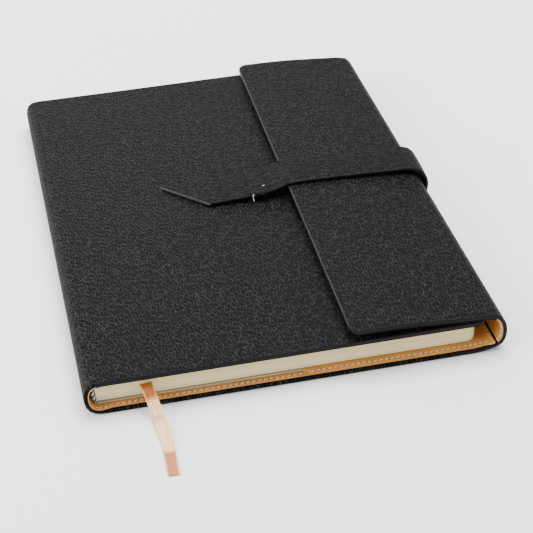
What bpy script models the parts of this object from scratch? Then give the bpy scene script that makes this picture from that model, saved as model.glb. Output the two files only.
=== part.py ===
"""A wrap-around leather notebook cover with its refill, closed by a strap.

Metres, +Z up. X runs from the spine (-X) to the fore edge (+X), Y from the tail (-Y) to the head (+Y).
Positions across the book are first counted from the shoulder, the line where the spine meets the covers,
and then shifted so that the closed book stands on the origin.
"""

from math import cos, pi, radians, sin, tan

import bmesh
import bpy
from mathutils import Vector

MM = 0.001

# Fits
GAP = 0.3 * MM  # between pieces that lie on each other
KEEPER_SLACK = 0.4 * MM  # between the strap and the loop that it runs through

# Overall sizes
COVER_WIDTH = 155.5 * MM  # front cover, shoulder to fore edge
COVER_LENGTH = 215.0 * MM  # front cover, tail to head
BACK_OVERHANG = 1.5 * MM  # the back cover's ledge past the front cover at head and tail
BACK_EXTRA_WIDTH = 4.0 * MM  # from the front cover's fore edge to the fold of the fore-edge wall
CORNER_RADIUS = 3.0 * MM

# Leather panels, counted from the grain side inwards
LEATHER = 1.3 * MM  # with its turned rim
LEATHER_SKIN = 0.6 * MM  # where the stiffener lies in it
RIM = 4.0 * MM  # width of the turned rim
STIFFENER = 0.4 * MM
LINING = 0.5 * MM
LINING_INSET = 0.4 * MM  # lining's edge inside the leather's painted edge

# Pockets and the refill
POCKET = 0.4 * MM
POCKET_LIP = 81.5 * MM  # the back pocket's mouth, from the shoulder
FRONT_POCKET_LIP = 60.0 * MM
POCKET_INSET = 2.4 * MM  # pocket panel's outer edges inside the lining's
CARD = 0.4 * MM  # the refill's cardboard covers
PAGE_WIDTH = 152.0 * MM
PAGE_LENGTH = 210.0 * MM
PAGE_START = 0.2 * MM  # from the shoulder
LOWER_PAGES = 4.9 * MM
UPPER_PAGES = 1.0 * MM
PAGE_CORNER = 4.0 * MM
SPINE_CLOTH = 0.4 * MM
HEADBAND_WIDTH = 1.9 * MM
HEADBAND_DEPTH = 2.4 * MM  # along the spine

# Rounded folds
SPINE_BULGE = 5.3 * MM
FOLD_BULGE = 4.3 * MM
SEGMENTS = 18  # along each fold

# Flap
FLAP_WIDTH = 59.5 * MM
FLAP_CLEARANCE = 0.1 * MM  # added to the gap over the front cover at the fold
FLAP_CORNER = 5.0 * MM
FLAP_TILT = radians(2.1)  # the free edge springs up off the front cover

# Strap
STRAP_WIDTH = 19.0 * MM
STRAP_CENTRE = 7.8 * MM  # towards the head from mid length
STRAP_OUTER = 1.0 * MM
STRAP_BACKING = 0.7 * MM
STRAP_END = 3.0 * MM  # its fold end, from the fold's hinge line
STRAP_TIP = 46.2 * MM  # from the shoulder
STRAP_CUT = 18.8 * MM  # how far back the slanting cut reaches on the tail side
STRAP_BLUNT = 0.6 * MM
STRAP_LANDING = 13.5 * MM  # the free edge to where the strap has come down to the keeper
STRAP_HOVER = 1.3 * MM  # height over the cover at the keeper
STRAP_WRAP_FROM = radians(-50)
STRAP_WRAP_TO = radians(42)

# Keeper
KEEPER_START = 84.0 * MM
KEEPER_WIDTH = 6.6 * MM
KEEPER_LEATHER = 0.7 * MM

# Bookmark
RIBBON_WIDTH = 5.0 * MM
RIBBON = 0.2 * MM
RIBBON_CENTRE = 19.2 * MM  # from the shoulder
RIBBON_HEAD_MARGIN = 1.0 * MM

# Heights, built up from the table
BACK_TOP = LEATHER
BACK_LINING_LOW = BACK_TOP + GAP
BACK_LINING_TOP = BACK_LINING_LOW + LINING
BACK_CARD_LOW = BACK_LINING_TOP + GAP
BACK_POCKET_LOW = BACK_CARD_LOW + CARD + GAP
LOWER_PAGES_LOW = BACK_POCKET_LOW + POCKET + GAP
LOWER_PAGES_TOP = LOWER_PAGES_LOW + LOWER_PAGES
RIBBON_LOW = LOWER_PAGES_TOP + GAP
UPPER_PAGES_LOW = RIBBON_LOW + RIBBON + GAP
UPPER_PAGES_TOP = UPPER_PAGES_LOW + UPPER_PAGES
FRONT_POCKET_LOW = UPPER_PAGES_TOP + GAP
FRONT_CARD_LOW = FRONT_POCKET_LOW + POCKET + GAP
FRONT_LINING_LOW = FRONT_CARD_LOW + CARD + GAP
FRONT_LEATHER_LOW = FRONT_LINING_LOW + LINING + GAP
COVER_TOP = FRONT_LEATHER_LOW + LEATHER
PANEL = LEATHER + GAP + LINING
FOLD_TOP = COVER_TOP + GAP + FLAP_CLEARANCE + PANEL

# Lines across the book, from the shoulder
FOLD_X = COVER_WIDTH + BACK_EXTRA_WIDTH
FREE_EDGE_X = FOLD_X - FLAP_WIDTH
PAGE_END = PAGE_START + PAGE_WIDTH
STRAP_THICKNESS = STRAP_BACKING + GAP + STRAP_OUTER
MIDDLE_X = (FOLD_X + FOLD_BULGE + GAP + STRAP_THICKNESS - SPINE_BULGE) / 2

BLACK_LEATHER = ((0.020, 0.020, 0.022), 0.55)
TAN_LINING = ((0.520, 0.255, 0.085), 0.75)
GREY_BOARD = ((0.300, 0.280, 0.250), 0.90)
CREAM_CARD = ((0.560, 0.490, 0.340), 0.80)
CREAM_PAPER = ((0.640, 0.580, 0.420), 0.85)
WHITE_CLOTH = ((0.700, 0.690, 0.650), 0.90)
STRIPED_SILK = ((0.300, 0.350, 0.520), 0.60)
COPPER_SATIN = ((0.600, 0.250, 0.130), 0.35)

# Each moving group's hinge line, from the shoulder, and the root at the middle
PIVOTS = {
    "back_cover": (MIDDLE_X, 0.0),
    "spine": (0.0, 0.0),
    "front_cover": (0.0, COVER_TOP),
    "leaves": (PAGE_START + 0.4 * MM, UPPER_PAGES_LOW + 0.6 * UPPER_PAGES),
    "fore_edge": (FOLD_X, 0.0),
    "flap": (FOLD_X, FOLD_TOP),
}


def clear_scene():
    for old in list(bpy.data.objects):
        bpy.data.objects.remove(old, do_unlink=True)


def material(name, look):
    """The material of this name, made the first time it is asked for."""
    found = bpy.data.materials.get(name)
    if found:
        return found
    colour, roughness = look
    made = bpy.data.materials.new(name)
    made.use_nodes = True
    shader = made.node_tree.nodes["Principled BSDF"]
    shader.inputs["Base Color"].default_value = (*colour, 1.0)
    shader.inputs["Roughness"].default_value = roughness
    shader.inputs["Metallic"].default_value = 0.0
    return made


def frame(name, tilt=0.0):
    """An empty on a group's hinge line, which its pieces hang from."""
    x, z = PIVOTS[name]
    empty = bpy.data.objects.new(name + "_frame", None)
    empty.location = (x - MIDDLE_X, 0.0, z)
    empty.rotation_euler = (0.0, tilt, 0.0)
    bpy.context.scene.collection.objects.link(empty)
    return empty


def piece(name, group, bm, look_name, look):
    """One solid from a bmesh whose points are counted from the shoulder, hung from its group's empty."""
    bmesh.ops.recalc_face_normals(bm, faces=bm.faces)
    x, z = PIVOTS[group]
    bmesh.ops.translate(bm, verts=bm.verts, vec=(-x, 0.0, -z))
    mesh = bpy.data.meshes.new(name)
    bm.to_mesh(mesh)
    bm.free()
    mesh.shade_smooth()
    mesh.set_sharp_from_angle(angle=radians(30))
    mesh.materials.append(material(look_name, look))
    obj = bpy.data.objects.new(name, mesh)
    bpy.context.scene.collection.objects.link(obj)
    obj.parent = FRAMES[group]
    return obj


def rounded_outline(x0, x1, y0, y1, radii, steps=5):
    """A rectangle's outline with round corners. radii: at the spine-tail, fore-tail, fore-head, spine-head corner."""
    corners = [
        (x0, y0, 1, 1, pi),
        (x1, y0, -1, 1, 1.5 * pi),
        (x1, y1, -1, -1, 0.0),
        (x0, y1, 1, -1, 0.5 * pi),
    ]
    points = []
    for (x, y, dx, dy, start), radius in zip(corners, radii):
        if not radius:
            points.append((x, y))
            continue
        for i in range(steps + 1):
            angle = start + 0.5 * pi * i / steps
            points.append((x + dx * radius + radius * cos(angle), y + dy * radius + radius * sin(angle)))
    return points


def ring_of(bm, outline, z):
    return [bm.verts.new((x, y, z)) for x, y in outline]


def join_rings(bm, one, other):
    for i in range(len(one)):
        j = (i + 1) % len(one)
        bm.faces.new((one[i], one[j], other[j], other[i]))


def plate(outline, low, high):
    bm = bmesh.new()
    bottom = ring_of(bm, outline, low)
    top = ring_of(bm, outline, high)
    join_rings(bm, bottom, top)
    bm.faces.new(bottom)
    bm.faces.new(top)
    return bm


def tray(outer, inner, skin_side, web_side, rim_side):
    """A sheet with a turned rim: the skin lies at skin_side, and the recess goes from rim_side to web_side."""
    bm = bmesh.new()
    skin = ring_of(bm, outer, skin_side)
    rim_out = ring_of(bm, outer, rim_side)
    rim_in = ring_of(bm, inner, rim_side)
    floor = ring_of(bm, inner, web_side)
    join_rings(bm, skin, rim_out)
    join_rings(bm, rim_out, rim_in)
    join_rings(bm, rim_in, floor)
    bm.faces.new(skin)
    bm.faces.new(floor)
    return bm


def extrude_section(section, y0, y1):
    """A closed outline in X and Z, extruded along Y."""
    bm = bmesh.new()
    tail = [bm.verts.new((x, y0, z)) for x, z in section]
    face = bm.faces.new(tail)
    grown = bmesh.ops.extrude_face_region(bm, geom=[face])["geom"]
    moved = [v for v in grown if isinstance(v, bmesh.types.BMVert)]
    bmesh.ops.translate(bm, verts=moved, vec=(0.0, y1 - y0, 0.0))
    return bm


def fold_line(x, top, bulge, depth, way, start=-pi / 2, end=pi / 2):
    """Points round a bulging fold, depth inside its outer face. way is -1 for the spine and 1 for the fore edge."""
    middle = top / 2
    points = []
    for i in range(SEGMENTS + 1):
        angle = start + (end - start) * i / SEGMENTS
        points.append((x + way * (bulge - depth) * cos(angle), middle + (middle - depth) * sin(angle)))
    return points


def fold_shell(x, top, bulge, depth, thickness, way, y0, y1, start=-pi / 2, end=pi / 2):
    """A layer of a bulging fold, depth inside its outer face."""
    outer = fold_line(x, top, bulge, depth, way, start, end)
    inner = fold_line(x, top, bulge, depth + thickness, way, start, end)
    return extrude_section(outer + inner[::-1], y0, y1)


def loft(stations):
    """A strip through stations of (x, tail edge, head edge, low, high)."""
    bm = bmesh.new()
    rings = []
    for x, y0, y1, low, high in stations:
        corners = [(x, y0, low), (x, y1, low), (x, y1, high), (x, y0, high)]
        rings.append([bm.verts.new(c) for c in corners])
    for one, other in zip(rings, rings[1:]):
        join_rings(bm, one, other)
    bm.faces.new(rings[0])
    bm.faces.new(rings[-1])
    return bm


def leather_panel(name, group, x0, x1, length, radii, skin_side, inwards):
    """A leather panel with its stiffener in the recess. inwards is 1 if the book's inside lies above it."""
    half = length / 2
    outer = rounded_outline(x0, x1, -half, half, radii)
    inner_radii = [max(r - RIM, 0.4 * MM) if r else 0.0 for r in radii]
    inner = rounded_outline(x0 + RIM, x1 - RIM, -half + RIM, half - RIM, inner_radii)
    web = skin_side + inwards * LEATHER_SKIN
    rim = skin_side + inwards * LEATHER
    piece(name + "_leather", group, tray(outer, inner, skin_side, web, rim), "black_leather", BLACK_LEATHER)
    inset = RIM + GAP
    low, high = sorted((web + inwards * GAP, web + inwards * (GAP + STIFFENER)))
    board = rounded_outline(x0 + inset, x1 - inset, -half + inset, half - inset, [0.0] * 4)
    piece(name + "_stiffener", group, plate(board, low, high), "grey_board", GREY_BOARD)


def lining_panel(name, group, x0, x1, length, radii, low, inset_start=0.0):
    half = length / 2 - LINING_INSET
    outline = rounded_outline(x0 + inset_start, x1 - LINING_INSET, -half, half, radii)
    piece(name, group, plate(outline, low, low + LINING), "tan_lining", TAN_LINING)


def back_cover():
    """The panel that lies on the table, its lining and the pocket that takes the refill's back card."""
    length = COVER_LENGTH + 2 * BACK_OVERHANG
    start, end = GAP, FOLD_X - GAP
    leather_panel("back", "back_cover", start, end, length, [0.0] * 4, 0.0, 1)
    lining_panel("back_lining", "back_cover", start, end + LINING_INSET, length, [0.0] * 4, BACK_LINING_LOW)
    half = length / 2 - LINING_INSET - POCKET_INSET
    outline = rounded_outline(POCKET_LIP, end - POCKET_INSET, -half, half, [0.0] * 4)
    pocket = plate(outline, BACK_POCKET_LOW, BACK_POCKET_LOW + POCKET)
    piece("back_pocket", "back_cover", pocket, "tan_lining", TAN_LINING)


def spine():
    half = COVER_LENGTH / 2 + BACK_OVERHANG
    skin = fold_shell(0.0, COVER_TOP, SPINE_BULGE, 0.0, LEATHER, -1, -half, half)
    piece("spine_leather", "spine", skin, "black_leather", BLACK_LEATHER)
    inset = half - LINING_INSET
    layer = fold_shell(0.0, COVER_TOP, SPINE_BULGE, LEATHER + GAP, LINING, -1, -inset, inset)
    piece("spine_lining", "spine", layer, "tan_lining", TAN_LINING)


def front_cover():
    radii = [0.0, CORNER_RADIUS, CORNER_RADIUS, 0.0]
    leather_panel("front", "front_cover", GAP, COVER_WIDTH, COVER_LENGTH, radii, COVER_TOP, -1)
    lining_panel("front_lining", "front_cover", GAP, COVER_WIDTH, COVER_LENGTH, radii, FRONT_LINING_LOW)
    half = COVER_LENGTH / 2 - LINING_INSET - POCKET_INSET
    end = COVER_WIDTH - LINING_INSET - POCKET_INSET
    outline = rounded_outline(FRONT_POCKET_LIP, end, -half, half, [0.0] * 4)
    pocket = plate(outline, FRONT_POCKET_LOW, FRONT_POCKET_LOW + POCKET)
    piece("front_pocket", "front_cover", pocket, "tan_lining", TAN_LINING)


def keeper():
    """The closed loop on the front cover that the strap runs through."""
    y0 = STRAP_CENTRE - STRAP_WIDTH / 2 - KEEPER_SLACK
    y1 = STRAP_CENTRE + STRAP_WIDTH / 2 + KEEPER_SLACK
    low = COVER_TOP + GAP
    floor = low + KEEPER_LEATHER
    roof = max(strap_low(KEEPER_START), strap_low(KEEPER_START + KEEPER_WIDTH))
    roof += STRAP_THICKNESS + KEEPER_SLACK
    bm = bmesh.new()
    rings = []
    for x in (KEEPER_START, KEEPER_START + KEEPER_WIDTH):
        for grow in (KEEPER_LEATHER, 0.0):
            box = [(y0 - grow, floor - grow), (y1 + grow, floor - grow)]
            box += [(y1 + grow, roof + grow), (y0 - grow, roof + grow)]
            rings.append([bm.verts.new((x, y, z)) for y, z in box])
    near_out, near_in, far_out, far_in = rings
    join_rings(bm, near_out, near_in)
    join_rings(bm, far_out, far_in)
    join_rings(bm, near_out, far_out)
    join_rings(bm, near_in, far_in)
    piece("strap_keeper", "front_cover", bm, "black_leather", BLACK_LEATHER)


def refill():
    """The notebook inside: two cards, the leaves below and above the bookmark, spine cloth and headbands."""
    half = PAGE_LENGTH / 2
    leaf = rounded_outline(PAGE_START, PAGE_END, -half, half, [0.0, PAGE_CORNER, PAGE_CORNER, 0.0])
    piece("refill_back_card", "back_cover", plate(leaf, BACK_CARD_LOW, BACK_CARD_LOW + CARD), "cream_card", CREAM_CARD)
    front = plate(leaf, FRONT_CARD_LOW, FRONT_CARD_LOW + CARD)
    piece("refill_front_card", "front_cover", front, "cream_card", CREAM_CARD)
    lower = plate(leaf, LOWER_PAGES_LOW, LOWER_PAGES_TOP)
    piece("refill_lower_pages", "back_cover", lower, "cream_paper", CREAM_PAPER)
    upper = plate(leaf, UPPER_PAGES_LOW, UPPER_PAGES_TOP)
    piece("refill_upper_pages", "leaves", upper, "cream_paper", CREAM_PAPER)
    cloth_end = PAGE_START - GAP
    cloth_half = half - HEADBAND_DEPTH - GAP
    cloth = rounded_outline(cloth_end - SPINE_CLOTH, cloth_end, -cloth_half, cloth_half, [0.0] * 4)
    cloth_solid = plate(cloth, LOWER_PAGES_LOW, LOWER_PAGES_TOP)
    piece("refill_spine_cloth", "back_cover", cloth_solid, "white_cloth", WHITE_CLOTH)
    for name, way in (("headband_tail", -1), ("headband_head", 1)):
        y0, y1 = sorted((way * half, way * (half - HEADBAND_DEPTH)))
        band = rounded_outline(cloth_end - HEADBAND_WIDTH, cloth_end, y0, y1, [0.0] * 4)
        solid = plate(band, LOWER_PAGES_LOW, LOWER_PAGES_TOP)
        piece(name, "back_cover", solid, "striped_silk", STRIPED_SILK)


def fore_edge():
    """The wall that closes the fore edge, and the run of the strap that lies on it."""
    half = COVER_LENGTH / 2 + BACK_OVERHANG
    skin = fold_shell(FOLD_X, FOLD_TOP, FOLD_BULGE, 0.0, LEATHER, 1, -half, half)
    piece("fore_edge_leather", "fore_edge", skin, "black_leather", BLACK_LEATHER)
    inset = half - LINING_INSET
    layer = fold_shell(FOLD_X, FOLD_TOP, FOLD_BULGE, LEATHER + GAP, LINING, 1, -inset, inset)
    piece("fore_edge_lining", "fore_edge", layer, "tan_lining", TAN_LINING)
    y0 = STRAP_CENTRE - STRAP_WIDTH / 2
    start, end = STRAP_WRAP_FROM, STRAP_WRAP_TO
    depth = -GAP - STRAP_THICKNESS
    wrap = fold_shell(FOLD_X, FOLD_TOP, FOLD_BULGE, depth, STRAP_THICKNESS, 1, y0, y0 + STRAP_WIDTH, start, end)
    piece("strap_wrap", "fore_edge", wrap, "black_leather", BLACK_LEATHER)


def flap():
    half = COVER_LENGTH / 2
    radii = [FLAP_CORNER, 0.0, 0.0, FLAP_CORNER]
    end = FOLD_X - GAP
    leather_panel("flap", "flap", FREE_EDGE_X, end, COVER_LENGTH, radii, FOLD_TOP, -1)
    low = FOLD_TOP - PANEL
    outline = rounded_outline(FREE_EDGE_X + LINING_INSET, end, -half + LINING_INSET, half - LINING_INSET, radii)
    piece("flap_lining", "flap", plate(outline, low, low + LINING), "tan_lining", TAN_LINING)


def flap_top(x):
    """Height of the tilted flap's grain side."""
    return FOLD_TOP + (FOLD_X - x) * tan(FLAP_TILT)


def strap_route():
    """The strap's underside, as (x, height), from the fold to the tip."""
    rest = COVER_TOP + GAP
    clear = GAP / cos(FLAP_TILT)
    edge = FREE_EDGE_X - 1.0 * MM
    return [
        (FOLD_X - STRAP_END, flap_top(FOLD_X - STRAP_END) + clear),
        (edge, flap_top(edge) + clear),
        (edge - 4.5 * MM, flap_top(edge) + clear - 1.4 * MM),
        (FREE_EDGE_X - STRAP_LANDING + 4.0 * MM, rest + STRAP_HOVER),
        (KEEPER_START, rest + STRAP_HOVER - 0.3 * MM),
        (STRAP_TIP + STRAP_CUT, rest),
        (STRAP_TIP, rest),
    ]


def strap_low(x):
    """Height of the strap's underside at x."""
    route = strap_route()
    for (x0, z0), (x1, z1) in zip(route, route[1:]):
        if x1 <= x <= x0:
            return z0 + (z1 - z0) * (x - x0) / (x1 - x0)
    return route[-1][1]


def strap_layer(lift, thickness):
    """One layer of the strap's free run, lift above its underside, with the slanting cut at its tip."""
    y0 = STRAP_CENTRE - STRAP_WIDTH / 2
    y1 = STRAP_CENTRE + STRAP_WIDTH / 2
    stations = []
    for x, low in strap_route():
        tail = y0
        if x < STRAP_TIP + STRAP_CUT:
            tail = y1 - STRAP_BLUNT
        stations.append((x, tail, y1, low + lift, low + lift + thickness))
    return loft(stations)


def strap():
    backing = strap_layer(0.0, STRAP_BACKING)
    piece("strap_backing", "strap", backing, "black_leather", BLACK_LEATHER)
    outer = strap_layer(STRAP_BACKING + GAP, STRAP_OUTER)
    piece("strap_leather", "strap", outer, "black_leather", BLACK_LEATHER)


def ribbon_inside():
    """The part of the bookmark that lies between the leaves."""
    y0 = -PAGE_LENGTH / 2
    y1 = PAGE_LENGTH / 2 - RIBBON_HEAD_MARGIN
    x0 = RIBBON_CENTRE - RIBBON_WIDTH / 2
    strip = rounded_outline(x0, x0 + RIBBON_WIDTH, y0, y1, [0.0] * 4)
    solid = plate(strip, RIBBON_LOW, RIBBON_LOW + RIBBON)
    piece("ribbon_inside", "back_cover", solid, "copper_satin", COPPER_SATIN)


def smooth_route(points, steps):
    """A smooth curve through the points (Catmull-Rom), steps to each stretch."""
    ends = [points[0] * 2 - points[1], *points, points[-1] * 2 - points[-2]]
    out = []
    for a, b, c, d in zip(ends, ends[1:], ends[2:], ends[3:]):
        for i in range(steps):
            t = i / steps
            out.append(
                0.5 * (2 * b + (c - a) * t + (2 * a - 5 * b + 4 * c - d) * t**2 + (3 * b - a - 3 * c + d) * t**3)
            )
    out.append(points[-1])
    return out


# The bookmark's free tail, from the page edge to its cut end: millimetres across from where it leaves the
# pages, how far out it is, and the share of its height at the page edge that is left. Over the back cover's
# ledge the second is a share of the ledge, and past it millimetres. The first point is a gap from the pages.
RIBBON_OVER_LEDGE = [
    (0.1, 0.40, 0.99),
    (0.3, 0.72, 0.95),
]
RIBBON_PAST_LEDGE = [
    (0.6, 0.2, 0.86),
    (1.0, 1.7, 0.72),
    (1.5, 3.6, 0.54),
    (2.0, 5.9, 0.37),
    (2.4, 8.4, 0.24),
    (2.8, 11.2, 0.15),
    (3.1, 14.2, 0.08),
    (3.3, 17.4, 0.03),
    (3.4, 20.8, 0.01),
    (3.4, 24.4, 0.0),
    (3.3, 28.0, 0.0),
    (3.1, 31.8, 0.0),
    (2.9, 36.0, 0.0),
    (2.7, 40.2, 0.0),
]


def ribbon_tail():
    rest = GAP + RIBBON / 2
    drop = RIBBON_LOW + RIBBON / 2 - rest
    ledge = COVER_LENGTH / 2 + BACK_OVERHANG - PAGE_LENGTH / 2
    places = [(0.0, GAP, 1.0)]
    places += [(across, out * ledge, share) for across, out, share in RIBBON_OVER_LEDGE]
    places += [(across, ledge + out * MM, share) for across, out, share in RIBBON_PAST_LEDGE]
    route = [
        Vector((RIBBON_CENTRE + across * MM, -PAGE_LENGTH / 2 - out, rest + share * drop))
        for across, out, share in places
    ]
    line = smooth_route(route, 2)
    bm = bmesh.new()
    rings = []
    for i, point in enumerate(line):
        along = line[min(i + 1, len(line) - 1)] - line[max(i - 1, 0)]
        side = along.cross(Vector((0.0, 0.0, 1.0))).normalized()
        up = side.cross(along).normalized()
        half, lift = side * RIBBON_WIDTH / 2, up * RIBBON / 2
        corners = (point - half - lift, point + half - lift, point + half + lift, point - half + lift)
        rings.append([bm.verts.new(c) for c in corners])
    for one, other in zip(rings, rings[1:]):
        join_rings(bm, one, other)
    bm.faces.new(rings[0])
    bm.faces.new(rings[-1])
    piece("bookmark_ribbon", "back_cover", bm, "copper_satin", COPPER_SATIN)


clear_scene()
PIVOTS["strap"] = strap_route()[0]
FRAMES = {name: frame(name, FLAP_TILT if name == "flap" else 0.0) for name in PIVOTS}
back_cover()
spine()
front_cover()
keeper()
refill()
fore_edge()
flap()
strap()
ribbon_inside()
ribbon_tail()
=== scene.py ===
import random
from math import cos, hypot, pi, radians, sin, sqrt

import bpy
import numpy as np
from mathutils import Matrix, Vector, noise


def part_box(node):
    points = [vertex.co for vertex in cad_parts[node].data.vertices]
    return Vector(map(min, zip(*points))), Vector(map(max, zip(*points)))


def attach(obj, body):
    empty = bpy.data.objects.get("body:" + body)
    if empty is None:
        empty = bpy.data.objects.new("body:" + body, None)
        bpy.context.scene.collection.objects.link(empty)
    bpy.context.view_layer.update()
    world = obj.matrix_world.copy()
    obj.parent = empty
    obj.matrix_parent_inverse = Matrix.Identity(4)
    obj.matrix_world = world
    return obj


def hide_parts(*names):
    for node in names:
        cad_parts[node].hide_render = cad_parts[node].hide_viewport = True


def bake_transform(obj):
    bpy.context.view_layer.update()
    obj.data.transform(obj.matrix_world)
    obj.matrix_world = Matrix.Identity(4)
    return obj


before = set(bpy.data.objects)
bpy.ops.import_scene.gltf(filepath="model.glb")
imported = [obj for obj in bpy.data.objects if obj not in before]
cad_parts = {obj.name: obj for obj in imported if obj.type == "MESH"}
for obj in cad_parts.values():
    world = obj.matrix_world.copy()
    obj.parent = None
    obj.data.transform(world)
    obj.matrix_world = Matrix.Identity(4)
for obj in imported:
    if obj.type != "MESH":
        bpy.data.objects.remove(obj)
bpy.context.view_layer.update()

MM = 0.001


def low(node, axis):
    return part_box(node)[0][axis]


def high(node, axis):
    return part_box(node)[1][axis]


# Lines of the closed book, read from the solids
GAP = 0.3 * MM
SHOULDER = low("front_leather", 0) - GAP
FORE_END = high("front_leather", 0)
COVER_TOP = high("front_leather", 2)
FOLD = high("back_leather", 0) + GAP
FREE_EDGE = low("flap_leather", 0)
FLAP_RISE = high("flap_leather", 2)
FOLD_TOP = high("fore_edge_leather", 2)
HALF_COVER = high("front_leather", 1)
HALF_BACK = high("back_leather", 1)
LEDGE = HALF_BACK - HALF_COVER
POCKET_LIP = low("back_pocket", 0)
PAGE_START = low("refill_lower_pages", 0)
PAGE_END = high("refill_lower_pages", 0)
HALF_PAGE = high("refill_lower_pages", 1)
PAGE_LOW = low("refill_lower_pages", 2)
PAGE_SPLIT = high("refill_lower_pages", 2)
PAGE_TOP = high("refill_upper_pages", 2)
STRAP_TAIL = low("strap_leather", 1)
STRAP_HEAD = high("strap_leather", 1)
STRAP_TIP = low("strap_leather", 0)
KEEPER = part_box("strap_keeper")

# Thicknesses of what is cut and sewn
LEATHER = 1.6 * MM
LINING = 0.5 * MM
RIM = 0.55 * MM
LINING_RIM = 0.2 * MM
STRAP_CUT = 18.8 * MM

# The free tail of the bookmark, from the page edge to its cut end
RIBBON_WIDTH = 5.0 * MM
RIBBON_START = Vector((-0.0612, -0.105, 0.0091))
RIBBON_ROUTE = [
    (0.0, 0.4, 1.0),
    (0.1, 1.6, 0.99),
    (0.3, 2.9, 0.95),
    (0.6, 4.2, 0.86),
    (1.0, 5.7, 0.72),
    (1.5, 7.6, 0.54),
    (2.0, 9.9, 0.37),
    (2.4, 12.4, 0.24),
    (2.8, 15.2, 0.15),
    (3.1, 18.2, 0.08),
    (3.3, 21.4, 0.03),
    (3.4, 24.8, 0.01),
    (3.4, 28.4, 0.0),
    (3.3, 32.0, 0.0),
    (3.1, 35.8, 0.0),
    (2.9, 40.0, 0.0),
    (2.7, 44.2, 0.0),
]


# ---- camera, floor and light


CAMERA_PLACE = (-0.11603, -0.60661, 0.43036)
CAMERA_TURN = -11.655
CAMERA_DROP = 36.2213
CAMERA_ROLL = -1.6608


def add_camera():
    data = bpy.data.cameras.new("table_view")
    data.lens = 115.4
    data.sensor_width = 36.0
    data.clip_start = 0.05
    data.clip_end = 20.0
    camera = bpy.data.objects.new("table_view", data)
    turn = Matrix.Rotation(radians(CAMERA_TURN), 4, "Z")
    tilt = Matrix.Rotation(radians(90 - CAMERA_DROP), 4, "X")
    roll = Matrix.Rotation(radians(CAMERA_ROLL), 4, "Z")
    camera.matrix_world = Matrix.Translation(CAMERA_PLACE) @ turn @ tilt @ roll
    bpy.context.scene.collection.objects.link(camera)
    bpy.context.scene.camera = camera


def area_light(name, place, aim, size, power):
    data = bpy.data.lights.new(name, "AREA")
    data.shape = "RECTANGLE"
    data.size, data.size_y = size
    data.energy = power
    light = bpy.data.objects.new(name, data)
    light.location = place
    light.rotation_euler = (Vector(aim) - Vector(place)).to_track_quat("-Z", "Y").to_euler()
    bpy.context.scene.collection.objects.link(light)


def add_light():
    world = bpy.data.worlds.new("studio")
    world.use_nodes = True
    sky = world.node_tree.nodes["Background"]
    sky.inputs["Color"].default_value = (1.0, 1.0, 1.0, 1.0)
    sky.inputs["Strength"].default_value = 1.0
    bpy.context.scene.world = world
    area_light("overhead_softbox", (0.25, 0.35, 1.1), (0.0, 0.0, 0.0), (0.9, 0.7), 28.0)
    area_light("back_softbox", (-0.3, 1.3, 0.55), (-0.05, 0.0, 0.0), (1.2, 0.5), 12.0)
    area_light("left_card", (-1.0, -0.1, 0.35), (0.0, 0.0, 0.0), (0.6, 0.8), 22.0)


# ---- node helpers


def feed(tree, socket, value):
    """Links another node's socket into this one, or sets its plain value."""
    if isinstance(value, bpy.types.NodeSocket):
        tree.links.new(value, socket)
    else:
        socket.default_value = value


def add_node(tree, kind, values=None, **settings):
    made = tree.nodes.new(kind)
    for key, value in settings.items():
        setattr(made, key, value)
    for key, value in (values or {}).items():
        feed(tree, made.inputs[key], value)
    return made


def maths(tree, operation, a, b=0.0, clamp=False):
    return add_node(tree, "ShaderNodeMath", {0: a, 1: b}, operation=operation, use_clamp=clamp).outputs[0]


def mix_colour(tree, factor, a, b):
    return add_node(tree, "ShaderNodeMix", {0: factor, 6: a, 7: b}, data_type="RGBA").outputs[2]


def span(tree, value, a, b, c=0.0, d=1.0):
    """value taken from the range a to b into c to d, kept inside it."""
    ends = {"Value": value, "From Min": a, "From Max": b, "To Min": c, "To Max": d}
    made = add_node(tree, "ShaderNodeMapRange", ends, clamp=True, interpolation_type="SMOOTHSTEP")
    return made.outputs["Result"]


def noise_of(tree, vector, scale, detail, **values):
    return add_node(tree, "ShaderNodeTexNoise", {"Vector": vector, "Scale": scale, "Detail": detail, **values}).outputs


def vector_maths(tree, operation, a, b):
    return add_node(tree, "ShaderNodeVectorMath", {0: a, 1: b}, operation=operation).outputs[0]


def stretched(tree, vector, scale, rotation=(0.0, 0.0, 0.0)):
    return add_node(tree, "ShaderNodeMapping", {"Vector": vector, "Rotation": rotation, "Scale": scale}).outputs[0]


def new_group(name, inputs, outputs):
    group = bpy.data.node_groups.new(name, "ShaderNodeTree")
    for label, kind, value in inputs:
        socket = group.interface.new_socket(name=label, in_out="INPUT", socket_type=kind)
        if value is not None:
            socket.default_value = value
    for label, kind in outputs:
        group.interface.new_socket(name=label, in_out="OUTPUT", socket_type=kind)
    return group, group.nodes.new("NodeGroupInput"), group.nodes.new("NodeGroupOutput")


def use_group(tree, group, **values):
    made = add_node(tree, "ShaderNodeGroup", node_tree=group)
    for key, value in values.items():
        feed(tree, made.inputs[key.replace("_", " ")], value)
    return made.outputs


def new_material(name, **shader_values):
    made = bpy.data.materials.new(name)
    made.use_nodes = True
    tree = made.node_tree
    shader = tree.nodes["Principled BSDF"]
    for key, value in shader_values.items():
        shader.inputs[key.replace("_", " ")].default_value = value
    return made, tree, shader


def place_vector(tree, use_uv=False):
    """Where a point of the surface lies: along the cut leather in UV, or in the object's own space."""
    if use_uv:
        return add_node(tree, "ShaderNodeUVMap", uv_map="cut").outputs["UV"]
    return add_node(tree, "ShaderNodeTexCoord").outputs["Object"]


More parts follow.
